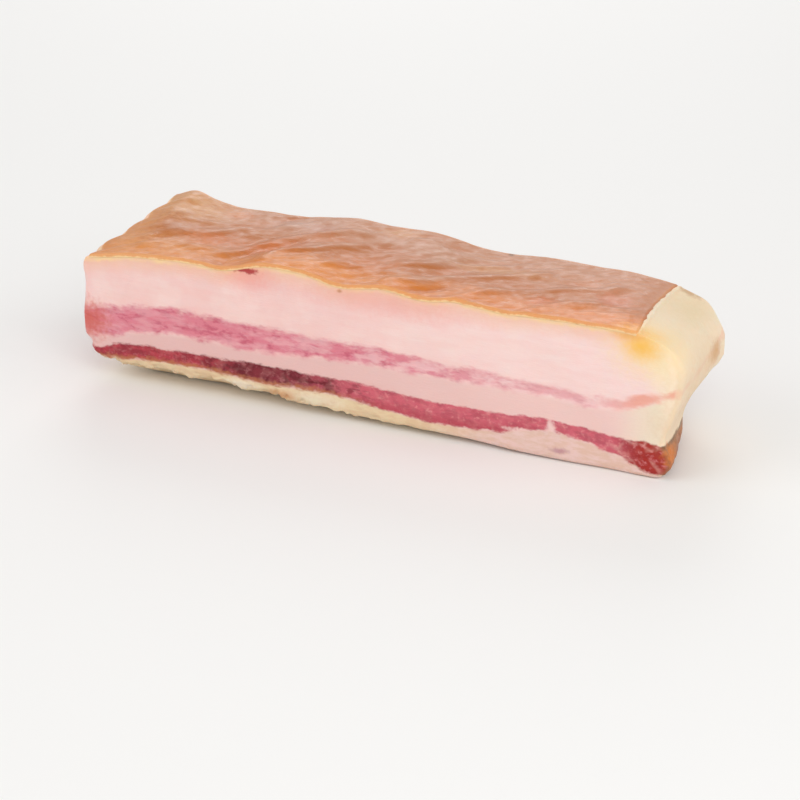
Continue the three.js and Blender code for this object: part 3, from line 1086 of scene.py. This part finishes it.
@dataclass(frozen=True)
class MeatFinish(Finish):
    """Moist cut meat: pinkish fat, two streaks of lean, waxy shoulder, torn cream underside."""

    name: str = "cured_meat"
    gloss: Gloss = Gloss(
        dull=0.54,
        shiny=0.36,
        patch_scale=0.5,
        specular=0.35,
        glow=0.25,
        glow_colour=(1.0, 0.45, 0.32),
        glow_depth=0.0018,
    )
    # fat
    fat: Triple = (243, 204, 198)
    fat_right: Triple = (250, 219, 214)
    fat_cloud: Triple = (248, 220, 213)
    fat_between: Triple = (231, 189, 184)
    fat_between_right: Triple = (240, 203, 196)
    fat_between_end: Triple = (240, 226, 202)
    fat_under: Triple = (234, 202, 194)
    fat_under_left: Triple = (232, 210, 172)
    fat_under_tan: Triple = (214, 172, 132)
    under_rind: Triple = (242, 186, 142)
    # pale line under the rind: partly the pale cut edge, partly painted highlight
    pale_line_and_highlight: Triple = (250, 212, 158)
    blush: Triple = (240, 176, 168)
    wax: Triple = (253, 232, 206)
    wax_end: Triple = (241, 219, 188)
    # upper streak
    upper_lean: Triple = (224, 132, 146)
    upper_lean_deep: Triple = (202, 92, 114)
    upper_lean_pale: Triple = (240, 190, 192)
    upper_lean_end: Triple = (240, 162, 140)
    # lower streak
    lower_lean_left: Triple = (184, 56, 70)
    lower_lean_mid: Triple = (211, 99, 114)
    lower_lean_right: Triple = (170, 40, 32)
    lower_lean_dark: Triple = (110, 16, 32)
    lower_lean_light: Triple = (228, 148, 150)
    lower_lean_sole: Triple = (172, 44, 62)
    lower_lean_fringe: Triple = (186, 114, 76)
    lean_crust: Triple = (180, 116, 66)
    crust_dark: Triple = (132, 88, 70)
    # painted shade: dark line along the lower streak's border on the right end
    painted_edge_shade: Triple = (96, 72, 48)
    vein: Triple = (240, 196, 182)
    vein_pull: Triple = (3.5, 3.5, 3.5)
    # masks and weaves
    upper_streak: Streak = Streak("upper_lean", 2.4, 1.0, 1.3)
    lower_streak: Streak = Streak("lower_lean", 1.5, 0.9, 0.6)
    wax_area: Streak = Streak("wax", 3.0, 1.0, 5.0)
    veil: Fibres = Fibres((0.12, 0.2, 0.6), 0.7)
    tan_tufts: Fibres = Fibres((0.35, 0.4, 1.0), 0.6)
    pale_mottle: Fibres = Fibres((0.34, 0.34, 0.9), 0.36, 0.4, 0.64)
    deep_mottle: Fibres = Fibres((0.42, 0.5, 1.0), 0.5, 0.46, 0.68)
    dark_lobes: Fibres = Fibres((0.5, 0.5, 0.8), 0.42, 0.4, 0.62)
    light_lobes: Fibres = Fibres((0.8, 0.6, 1.0), 0.7, 0.5, 0.72)
    # how strongly each tint shows
    cloud_share: float = 0.6
    blush_share: float = 0.14
    tan_share: float = 0.4
    deep_share: float = 0.85
    dried_share: float = 0.78
    dried_boost: float = 0.3
    sole_share: float = 0.5
    fringe_share: float = 0.95
    crust_share: float = 0.9
    crust_dark_share: float = 0.55
    # strength of the painted shade line on the right end
    painted_edge_shade_share: float = 0.8
    # finest relief
    fine_grain: Fibres = Fibres((0.5, 0.5, 1.4), 1.6)
    smear_stretch: Triple = (0.25, 1.0, 2.0)
    grain_on_lean: float = 0.7
    grain_on_fat: float = 0.2
    patches: tuple[Patch, ...] = (
        # blush and a red nick under the rind, with a faint speck
        Patch((238, 150, 138), (-45, 0, 48.0), (8, 5, 4.4), 0.9, 0.4, 0.55),
        Patch((178, 56, 56), (-46.5, 0, 49.9), (4.2, 1.8, 1.0), 0.5, 1.0, 0.95),
        Patch((240, 172, 160), (4, 0, 46.5), (26, 8, 4.0), 0.9, 0.5, 0.55),
        Patch((196, 128, 84), (-11, 0, 48.2), (0.9, 1.0, 0.6), 0.7, 0.4, 0.7),
        # yellow glow of the shoulder
        Patch((253, 221, 164), (99, 2, 44.5), (11, 12, 7.5), 1.0, 0.5, 0.65),
        Patch((253, 192, 76), (96.2, 1, 46.6), (5.2, 6, 4.0), 1.0, 0.3, 0.9),
        Patch((240, 168, 92), (91, 0, 49.8), (4.5, 4, 1.6), 1.0, 0.4, 0.7),
        # red left tip of the upper streak, and a tan tuft at the torn edge
        Patch((208, 94, 72), (-109, 0, 21.5), (7.0, 12, 6.0), 0.8, 0.9, 0.75),
        Patch((212, 158, 108), (-33, 0, 6.0), (6, 4, 1.6), 0.6, 0.7, 0.8),
        # smoke on the right end, and painted shade on its lower part
        Patch((202, 146, 82), (108, 38, 31.5), (6, 6, 3.0), 0.8, 0.6, 0.95),
        Patch((226, 200, 154), (101, 42, 47), (9, 12, 5), 1.0, 0.5, 0.6),
        # painted shade: two tan patches darken the lower end face
        Patch((222, 188, 150), (105, 30, 20), (6, 26, 8), 1.0, 0.5, 0.65),
        Patch((224, 192, 156), (110, 22, 32), (6, 18, 7), 1.0, 0.5, 0.6),
        Patch((188, 140, 92), (96, 53, 45.5), (6, 2, 1.6), 0.8, 0.9, 0.6),
        # pale torn fat
        Patch((242, 231, 210), (-49, 0, 7.4), (6, 4, 1.4), 0.7, 0.9, 0.75),
        Patch((240, 228, 204), (-20, 0, 6.8), (8, 4, 2.0), 0.8, 0.9, 0.6),
        # crust at the lower right corner, and a lilac mark beside it
        Patch((214, 124, 50), (106.5, 4, 8), (2.6, 3.6, 3.2), 0.7, 1.0, 0.85),
        Patch((150, 74, 60), (105, 14, 4), (3.0, 4, 3.0), 0.9, 1.0, 0.6),
        Patch((176, 112, 132), (69, 0, 4.2), (2.8, 3, 0.9), 0.7, 0.9, 0.6),
    )
    # islands of fat in the lower streak; only their masks count
    fat_gaps: tuple[Patch, ...] = (
        Patch((0, 0, 0), (65.6, 0, 11.2), (1.4, 9, 3.4), 0.6, 0.7),
        Patch((0, 0, 0), (58, 0, 9.0), (8.0, 7, 0.9), 0.5, 0.8),
        Patch((0, 0, 0), (72, 0, 7.6), (7.0, 9, 1.6), 0.5, 0.7),
        Patch((0, 0, 0), (88, 0, 4.6), (3.4, 7, 1.5), 0.5, 0.8),
    )

    def paint(self, w: Canvas) -> tuple[Socket, Socket]:
        """Gives the colour of the cut, and the height of its finest relief."""
        upper, upper_mask = self._upper_lean(w)
        lower, lower_mask = self._lower_lean(w)
        colour = w.tint(upper_mask, self._fat(w), upper)
        colour = w.tint(lower_mask, colour, lower)
        for patch in self.patches:
            colour = patch.lay(w, colour)
        lean = w.math("MAXIMUM", upper_mask, lower_mask)
        share = w.math("MULTIPLY_ADD", lean, self.grain_on_lean, self.grain_on_fat)
        smear = w.noise(w.vector("MULTIPLY", w.place, self.smear_stretch), 1.4, 3.0)
        grain = w.centred(self.fine_grain.value(w))
        return colour, w.math("MULTIPLY_ADD", grain, share, smear)

    def _fat(self, w: Canvas) -> Socket:
        """Colour of the fat, from the peach tint under the rind down to the torn underside."""
        rightward = w.ramp(w.along, -60.0, 95.0)
        colour = w.lay(linear(self.fat), self.fat_right, rightward)
        pale = w.ramp(w.cloud(0.07, 3.0), 0.42, 0.66)
        colour = w.lay(colour, self.fat_cloud, pale, self.cloud_share)
        colour = w.lay(colour, self.blush, self.veil.value(w), self.blush_share)
        below_rind = w.mark("below_rind")
        uneven = w.sway(below_rind, 2.6, 0.35, 3.0)
        colour = w.lay(colour, self.under_rind, w.ramp(uneven, 9.0, 1.0, 0.0, 0.55))
        # pale line just under the rind: partly the pale cut edge, partly painted highlight along the
        # seam
        broken = w.ramp(w.cloud(0.12), 0.35, 0.65, 0.35, 0.9)
        colour = w.lay(colour, self.pale_line_and_highlight, w.ramp(uneven, 3.2, 1.6), broken)
        between = w.lay(linear(self.fat_between), self.fat_between_right, rightward)
        between = w.lay(between, self.fat_between_end, w.ramp(w.along, 84.0, 104.0))
        colour = w.tint(w.ramp(w.mark("upper_base"), 1.0, -1.5), colour, between)
        colour = w.lay(colour, self.wax, self.wax_area.mask(w))
        by_rind = w.both(w.ramp(below_rind, 3.6, 1.4), w.ramp(w.along, 86.0, 90.0))
        colour = w.lay(colour, self.wax_end, w.math("MAXIMUM", w.mark("right_end"), by_rind))
        cream = w.lay(linear(self.fat_under_left), self.fat_under, w.ramp(w.along, 10.0, 50.0))
        bottom = w.lay(cream, self.fat_under_tan, self.tan_tufts.value(w), self.tan_share)
        return w.tint(w.ramp(w.mark("lower_base"), 0.5, -0.6), colour, bottom)

    def _upper_lean(self, w: Canvas) -> tuple[Socket, Socket]:
        """Colour and mask of the upper streak, mottled and fading towards the shoulder."""
        deep = self.deep_mottle.value(w)
        colour = w.lay(linear(self.upper_lean), self.upper_lean_deep, deep, self.deep_share)
        paler = w.ramp(w.along, -70.0, 40.0, 0.35, 1.0)
        colour = w.lay(colour, self.upper_lean_pale, self.pale_mottle.value(w), paler)
        colour = w.lay(colour, self.upper_lean_end, w.ramp(w.along, 78.0, 98.0))
        smeared = w.ramp(w.mark("right_end"), 0.0, 1.0, 1.0, 0.4)
        fading = w.ramp(w.along, 0.0, 70.0, 1.0, 0.56)
        rising = w.ramp(w.along, 80.0, 95.0, 0.0, 0.8)
        return colour, w.both(self.upper_streak.mask(w), smeared, w.math("MAXIMUM", fading, rising))

    def _lower_lean(self, w: Canvas) -> tuple[Socket, Socket]:
        """Colour and mask of the lower streak: maroon, then rosy, then red lobes between veins."""
        rosy = w.ramp(w.along, -60.0, 0.0)
        colour = w.lay(linear(self.lower_lean_left), self.lower_lean_mid, rosy)
        colour = w.lay(colour, self.lower_lean_right, w.ramp(w.along, 85.0, 98.0))
        dark = self.dark_lobes.value(w)
        dried = w.both(w.ramp(w.along, -66.0, -48.0), w.ramp(w.along, 2.0, -38.0))
        setting_in = w.ramp(w.along, -75.0, -50.0, 0.5, 0.8)
        dying_out = w.ramp(w.along, -24.0, 14.0, 1.0, 0.3)
        patchy = w.both(setting_in, dying_out)
        dark_share = w.math("MULTIPLY_ADD", dried, self.dried_boost, patchy)
        colour = w.lay(colour, self.lower_lean_dark, dried, self.dried_share)
        colour = w.lay(colour, self.lower_lean_dark, dark, dark_share)
        lighter = w.ramp(w.along, -30.0, 20.0, 0.25, 0.6)
        colour = w.lay(colour, self.lower_lean_light, self.light_lobes.value(w), lighter)
        colour = self._lower_edge(w, colour)
        colour = w.lay(colour, self.vein, self._veins(w), w.ramp(w.along, 76.0, 90.0, 0.08, 0.3))
        right_end = w.mark("right_end")
        crust = w.lay(linear(self.lean_crust), self.crust_dark, dark, self.crust_dark_share)
        colour = w.tint(w.both(right_end, self.crust_share), colour, crust)
        # painted shade along the lower streak's border on the right end
        painted_edge_shade = w.ramp(w.mark("lower_lean"), 1.9, 0.3)
        colour = w.lay(colour, self.painted_edge_shade, painted_edge_shade, right_end, self.painted_edge_shade_share)
        mask = self.lower_streak.mask(w)
        for gap in self.fat_gaps:
            mask = w.both(mask, w.math("SUBTRACT", 1.0, gap.mask(w)))
        return colour, mask

    def _lower_edge(self, w: Canvas, colour: Socket) -> Socket:
        """Lower edge of the lower streak: a redder sole in the middle, a brown fringe at left."""
        height = w.mark("lower_base")
        from_left = w.ramp(w.along, -20.0, 10.0)
        to_right = w.ramp(w.along, 66.0, 50.0)
        sole = w.ramp(height, 4.0, 0.5)
        middle = (from_left, to_right, self.sole_share)
        colour = w.lay(colour, self.lower_lean_sole, sole, *middle)
        fringe = w.ramp(w.sway(height, 3.5, 0.5, 3.0), 2.1, 0.0)
        at_left = w.ramp(w.along, 10.0, -24.0)
        return w.lay(colour, self.lower_lean_fringe, fringe, at_left, self.fringe_share)

    def _veins(self, w: Canvas) -> Socket:
        """Thin web of fat between the lobes of the lean."""
        bend = w.add("ShaderNodeTexNoise", {"Vector": w.place, "Scale": 0.3, "Detail": 3.0})
        pulled = w.vector("MULTIPLY_ADD", bend.outputs["Color"], self.vein_pull, w.place)
        inputs = {"Vector": pulled, "Scale": 0.15}
        web = w.add("ShaderNodeTexVoronoi", inputs, feature="DISTANCE_TO_EDGE")
        whole = w.ramp(w.cloud(0.22), 0.4, 0.6)
        return w.both(w.ramp(web.outputs["Distance"], 0.17, 0.0), whole)


@dataclass(frozen=True)
class RindFinish(Finish):
    """Smoked rind: tan and semi-gloss, orange at the front, with lilac pink on the crests that is
    partly pale pigment and partly painted sheen.
    """

    name: str = "smoked_rind"
    gloss: Gloss = Gloss(
        dull=0.5,
        shiny=0.32,
        patch_scale=0.35,
        specular=0.4,
        glow=0.15,
        glow_colour=(1.0, 0.4, 0.2),
        glow_depth=0.0012,
    )
    tan: Triple = (184, 108, 52)
    front: Triple = (214, 124, 44)
    back: Triple = (190, 130, 94)
    # lilac pink of the crests: partly pale pigment, partly painted sheen
    crest: Triple = (195, 146, 119)
    hollow: Triple = (186, 104, 48)
    speckle: Triple = (180, 108, 60)
    worn_rim: Triple = (238, 176, 118)
    cut_edge: Triple = (248, 206, 152)
    end_line: Triple = (196, 118, 76)
    mottle: Fibres = Fibres((0.6, 0.8, 0.6), 0.5, 0.4, 0.65)
    wrinkles: Fibres = Fibres((0.5, 1.1, 1.0), 0.4, 0.2, 0.8)
    pore_share: float = 0.25
    speckle_share: float = 0.22
    # strength of the faint painted sheen blotches
    painted_sheen_share: float = 0.06
    end_line_share: float = 0.55
    worn_share: float = 0.6
    patches: tuple[Patch, ...] = (
        # orange hollows between the folds
        Patch((206, 110, 44), (-46, 19, 51), (10, 7, 9), 0.9, 0.8, 0.8),
        Patch((208, 118, 62), (-70, 21, 51), (9, 5, 9), 0.8, 1.0, 0.75),
        Patch((222, 134, 48), (-20, 7, 51), (22, 7, 9), 0.9, 0.8, 0.75),
        Patch((206, 120, 64), (-8, 18, 51), (11, 6, 9), 0.8, 1.0, 0.65),
        Patch((194, 124, 80), (-57, 41, 51), (6, 4, 9), 0.8, 1.0, 0.8),
        Patch((206, 124, 84), (-71, 46, 51), (5, 3.5, 9), 0.8, 1.0, 0.7),
        Patch((186, 112, 72), (-36, 40, 51), (3.5, 4.5, 9), 0.7, 1.0, 0.8),
        Patch((204, 144, 96), (-9, 48, 51), (6, 4, 9), 0.8, 1.0, 0.8),
        Patch((200, 126, 82), (-32, 30, 51), (9, 5, 9), 0.8, 1.0, 0.65),
        Patch((206, 144, 94), (32, 34, 51), (14, 4, 9), 0.8, 1.0, 0.7),
        Patch((198, 112, 58), (22, 25, 51), (6, 4, 9), 0.8, 1.0, 0.6),
        Patch((202, 104, 50), (57, 12, 51), (5, 4, 9), 0.8, 1.0, 0.8),
        Patch((208, 112, 78), (78, 24, 51), (5, 5.5, 9), 0.7, 0.8, 0.85),
        Patch((202, 128, 86), (65, 34, 51), (3.5, 3.5, 9), 0.7, 0.8, 0.7),
        Patch((230, 142, 84), (80, 6, 51), (16, 8, 9), 0.9, 0.8, 0.75),
        Patch((220, 134, 76), (46, 8, 51), (16, 6, 9), 0.9, 1.0, 0.6),
        # lilac bloom: painted sheen on the middle and back of the rind
        Patch((200, 162, 148), (-45, 43, 51), (11, 5, 9), 1.0, 1.0, 0.5),
        Patch((198, 160, 140), (10, 36, 51), (16, 6, 9), 1.0, 1.0, 0.3),
        Patch((214, 156, 128), (80, 34, 51), (18, 18, 9), 1.0, 0.6, 0.5),
        # bright right corner, a dark speck behind, and the paler left end
        Patch((246, 178, 90), (92.5, 1, 51), (5, 4, 9), 0.9, 1.0, 0.75),
        Patch((92, 70, 52), (30, 53.2, 49), (1.0, 1.3, 0.9), 0.5, 0.5, 0.9),
        Patch((222, 168, 114), (-92, 46, 52), (16, 12, 9), 1.0, 0.6, 0.65),
        Patch((226, 152, 84), (-84, 8, 50), (18, 9, 9), 1.0, 0.6, 0.6),
        Patch((226, 158, 98), (-100, 20, 50), (7, 24, 9), 1.0, 0.6, 0.65),
    )

    def paint(self, w: Canvas) -> tuple[Socket, Socket]:
        """Gives the colour of the rind, and the height of its pores and wrinkles."""
        uneven = w.sway(w.across, 18.0, 0.09, 3.0)
        colour = w.lay(linear(self.tan), self.front, w.ramp(uneven, 18.0, 3.0))
        colour = w.lay(colour, self.back, w.ramp(uneven, 24.0, 46.0))
        crest = w.mark("crest")
        colour = w.lay(colour, self.hollow, w.ramp(crest, 0.0, -0.8, 0.0, 0.6))
        for patch in self.patches:
            colour = patch.lay(w, colour)
        behind_front = w.ramp(w.across, 0.0, 16.0, 0.2, 0.6)
        # lilac pink on the crests: partly pale pigment, partly painted sheen
        colour = w.lay(colour, self.crest, w.ramp(crest, 0.3, 1.4), behind_front)
        colour = w.lay(colour, self.speckle, self.mottle.value(w), self.speckle_share)
        # painted sheen: faint blotches of the lilac crest colour
        painted_sheen_mask = w.ramp(w.cloud(1.1, 4.0, 0.65), 0.4, 0.7)
        colour = w.lay(colour, self.crest, painted_sheen_mask, self.painted_sheen_share)
        pores = w.cloud(1.3, 1.0)
        height = w.math("MULTIPLY_ADD", pores, self.pore_share, self.wrinkles.value(w))
        return self._edges(w, colour), height

    def _edges(self, w: Canvas, colour: Socket) -> Socket:
        """Lays on the brown line at the right end, the worn rim and the pale cut edge."""
        rim = w.mark("rim")
        behind = w.ramp(w.across, 3.0, 14.0)
        broken = w.ramp(w.cloud(0.45, 3.0), 0.35, 0.6)
        at_right = w.ramp(w.along, 84.0, 90.0)
        line = (w.ramp(rim, 1.4, 0.2), at_right, broken, behind, self.end_line_share)
        colour = w.lay(colour, self.end_line, *line)
        left_of_corner = w.math("SUBTRACT", 1.0, w.both(w.ramp(w.along, 88.0, 91.0), behind))
        worn = w.ramp(rim, 1.6, 0.2)
        colour = w.lay(colour, self.worn_rim, worn, left_of_corner, self.worn_share)
        ragged = w.sway(w.sway(w.mark("cut_edge"), 0.9, 0.1), 0.9, 0.6, 3.0)
        return w.lay(colour, self.cut_edge, w.ramp(ragged, 0.4, 0.85), left_of_corner)


# ---- geometry node trees -----------------------------------------------------------------------


def new_geometry_tree(name: str, inputs: dict[str, object]) -> tuple[Tree, dict, object]:
    """Starts a Geometry Nodes tree.

    Args:
        name: The tree's name.
        inputs: Each input's default: a whole number, a number, or None for a material.

    Returns:
        The tree, its input sockets by name, and its output node.
    """
    tree = bpy.data.node_groups.new(name, "GeometryNodeTree")
    face = tree.interface
    face.new_socket(name="Geometry", in_out="INPUT", socket_type="NodeSocketGeometry")
    kinds = {int: "NodeSocketInt", float: "NodeSocketFloat", type(None): "NodeSocketMaterial"}
    for key, value in inputs.items():
        socket = face.new_socket(name=key, in_out="INPUT", socket_type=kinds[type(value)])
        if value is not None:
            socket.default_value = value
    face.new_socket(name="Geometry", in_out="OUTPUT", socket_type="NodeSocketGeometry")
    source = tree.nodes.new("NodeGroupInput")
    given = {key: source.outputs[key] for key in ("Geometry", *inputs)}
    return tree, given, tree.nodes.new("NodeGroupOutput")


def finish_tree(w: Wiring, geometry: object, material: object, end: object) -> None:
    """Ends a tree in Realize Instances and Set Material."""
    real = w.add("GeometryNodeRealizeInstances", {"Geometry": geometry}).outputs[0]
    dressed = w.add("GeometryNodeSetMaterial", {"Geometry": real, "Material": material})
    w.plug(end.inputs["Geometry"], dressed.outputs[0])


def grain_tree() -> Tree:
    """Grains a surface along its normals, by noise, and keeps it from dipping under the table."""
    sizes = {"Height": 0.0001, "Grain Size": 0.002, "Seed": 1, "Material": None}
    tree, given, end = new_geometry_tree("surface_grain", sizes)
    w = Wiring(tree)
    place = w.add("GeometryNodeInputPosition").outputs[0]
    scale = w.math("DIVIDE", 1.0, given["Grain Size"])
    noise = w.add(
        "ShaderNodeTexNoise",
        {"Vector": place, "W": given["Seed"], "Scale": scale, "Detail": 3.0, "Roughness": 0.6},
        noise_dimensions="4D",
    )
    lift = w.math("MULTIPLY", w.centred(noise.outputs["Fac"]), given["Height"])
    normal = w.add("GeometryNodeInputNormal").outputs[0]
    offset = w.add("ShaderNodeVectorMath", {0: normal, "Scale": lift}, operation="SCALE").outputs[0]
    moved = w.add("GeometryNodeSetPosition", {"Geometry": given["Geometry"], "Offset": offset})
    over_table = w.vector("MAXIMUM", place, LOWEST_PLACE)
    inputs = {"Geometry": moved.outputs[0], "Position": over_table}
    laid = w.add("GeometryNodeSetPosition", inputs)
    finish_tree(w, laid.outputs[0], given["Material"], end)
    return tree


def apply_tree(piece: bpy.types.Object, tree: Tree, values: dict[str, object]) -> None:
    """Runs a tree on a piece and keeps the result as a plain mesh.

    Args:
        piece: The object to work on.
        tree: The Geometry Nodes tree.
        values: Values for the tree's named inputs.
    """
    modifier = piece.modifiers.new(tree.name, "NODES")
    modifier.node_group = tree
    sockets = {s.name: s.identifier for s in tree.interface.items_tree if s.in_out == "INPUT"}
    for name, value in values.items():
        modifier[sockets[name]] = value
    bpy.context.view_layer.update()
    shown = piece.evaluated_get(bpy.context.evaluated_depsgraph_get())
    mesh = bpy.data.meshes.new_from_object(shown)
    piece.modifiers.remove(modifier)
    old = piece.data
    piece.data = mesh
    bpy.data.meshes.remove(old)
    mesh.name = piece.name


# ---- the slab ----------------------------------------------------------------------------------


@dataclass
class PorkBelly:
    """The slab: its meat and its rind."""

    form: SlabForm = field(default_factory=SlabForm)
    meat_finish: MeatFinish = field(default_factory=MeatFinish)
    rind_finish: RindFinish = field(default_factory=RindFinish)
    rind_cover: float = 0.9
    # height and size of the grain, in metres
    meat_grain: Span = (0.00018, 0.0024)
    rind_grain: Span = (0.00012, 0.0026)
    seed: int = 7  # fixed, so that every run gives the same grain

    def build(self) -> list[bpy.types.Object]:
        """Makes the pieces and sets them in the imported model's frame.

        Returns:
            The finished pieces.
        """
        meat_surface = SlabSkin(self.form).carry(self.rind_cover)
        rind_surface = RindSheet(self.form).carry()
        shift = self._shift(meat_surface, rind_surface)
        effects = Effects()
        grain = grain_tree()
        pieces = []
        for name, surface, finish, (height, size) in (
            ("belly_meat", meat_surface, self.meat_finish, self.meat_grain),
            ("belly_rind", rind_surface, self.rind_finish, self.rind_grain),
        ):
            piece = make_object(name, surface, shift)
            values = {"Height": height, "Grain Size": size, "Seed": self.seed}
            apply_tree(piece, grain, values | {"Material": finish.build(effects, shift)})
            pieces.append(piece)
        return pieces

    def _shift(self, *surfaces: Surface) -> np.ndarray:
        """Gives what sets the form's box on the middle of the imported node's."""
        points = np.concatenate([s.points for s in surfaces])
        low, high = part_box(NODE)
        middle = np.array((low + high) / 2.0) / MM
        shift = middle - (points.min(0) + points.max(0)) / 2.0
        shift[2] = low.z / MM
        return shift


# ---- the studio --------------------------------------------------------------------------------


@dataclass(frozen=True)
class Lamp:
    """One soft rectangular lamp."""

    name: str
    place: Triple
    size: float
    power: float


@dataclass(frozen=True)
class Studio:
    """Pale floor, soft lamps and the camera."""

    camera_place: Triple = (0.38249, -0.87266, 0.42836)
    azimuth: float = 23.70
    elevation: float = 24.26
    lens: float = 135.0
    sensor: float = 36.0
    floor_size: float = 4.0
    floor_colour: Triple = (244, 243, 241)
    floor_roughness: float = 0.7
    sky: float = 0.55
    lamps: tuple[Lamp, ...] = (
        Lamp("key", (0.75, -0.85, 0.90), 0.9, 6.5),
        Lamp("fill", (-0.85, -0.70, 0.70), 1.0, 4.0),
        Lamp("side", (1.10, 0.10, 0.55), 0.8, 2.6),
        Lamp("sheen", (-0.40, 0.95, 0.60), 0.6, 2.8),
    )

    def build(self) -> None:
        """Sets up the whole studio."""
        scene = bpy.context.scene
        scene.view_settings.view_transform = "Standard"
        scene.view_settings.look = "None"
        self._world(scene)
        self._floor(scene)
        for lamp in self.lamps:
            self._lamp(scene, lamp)
        self._camera(scene)

    def _world(self, scene: bpy.types.Scene) -> None:
        """Even white light from all round."""
        world = bpy.data.worlds.new("studio")
        world.use_nodes = True
        background = world.node_tree.nodes["Background"]
        background.inputs["Color"].default_value = WHITE
        background.inputs["Strength"].default_value = self.sky
        scene.world = world

    def _floor(self, scene: bpy.types.Scene) -> None:
        """One pale square sheet."""
        half = self.floor_size / 2.0
        mesh = bpy.data.meshes.new("floor")
        corners = [(-half, -half, 0.0), (half, -half, 0.0), (half, half, 0.0), (-half, half, 0.0)]
        mesh.from_pydata(corners, [], [(0, 1, 2, 3)])
        material = bpy.data.materials.new("pale_floor")
        material.use_nodes = True
        shader = material.node_tree.nodes["Principled BSDF"]
        shader.inputs["Base Color"].default_value = linear(self.floor_colour)
        shader.inputs["Roughness"].default_value = self.floor_roughness
        mesh.materials.append(material)
        floor = bpy.data.objects.new("floor", mesh)
        scene.collection.objects.link(floor)

    def _lamp(self, scene: bpy.types.Scene, lamp: Lamp) -> None:
        """One lamp, turned to the middle of the slab."""
        light = bpy.data.lights.new(lamp.name, "AREA")
        light.size = lamp.size
        light.energy = lamp.power
        fixture = bpy.data.objects.new(lamp.name, light)
        fixture.location = lamp.place
        fixture.rotation_euler = (-Vector(lamp.place)).to_track_quat("-Z", "Y").to_euler()
        scene.collection.objects.link(fixture)

    def _camera(self, scene: bpy.types.Scene) -> None:
        """Long lens from the front right, a little above."""
        data = bpy.data.cameras.new("camera")
        data.lens = self.lens
        data.sensor_width = self.sensor
        camera = bpy.data.objects.new("camera", data)
        camera.location = self.camera_place
        tilt = math.radians(90.0 - self.elevation)
        camera.rotation_euler = Euler((tilt, 0.0, math.radians(self.azimuth)), "XYZ")
        scene.collection.objects.link(camera)
        scene.camera = camera


def main() -> None:
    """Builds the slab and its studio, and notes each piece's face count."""
    logging.basicConfig(level=logging.INFO, format="%(name)s: %(message)s")
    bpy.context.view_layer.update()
    Studio().build()
    for piece in PorkBelly().build():
        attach(piece, BODY)
        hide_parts(NODE)
        log.info("%s: %d faces", piece.name, len(piece.data.polygons))


if __name__ == "__main__":
    main()
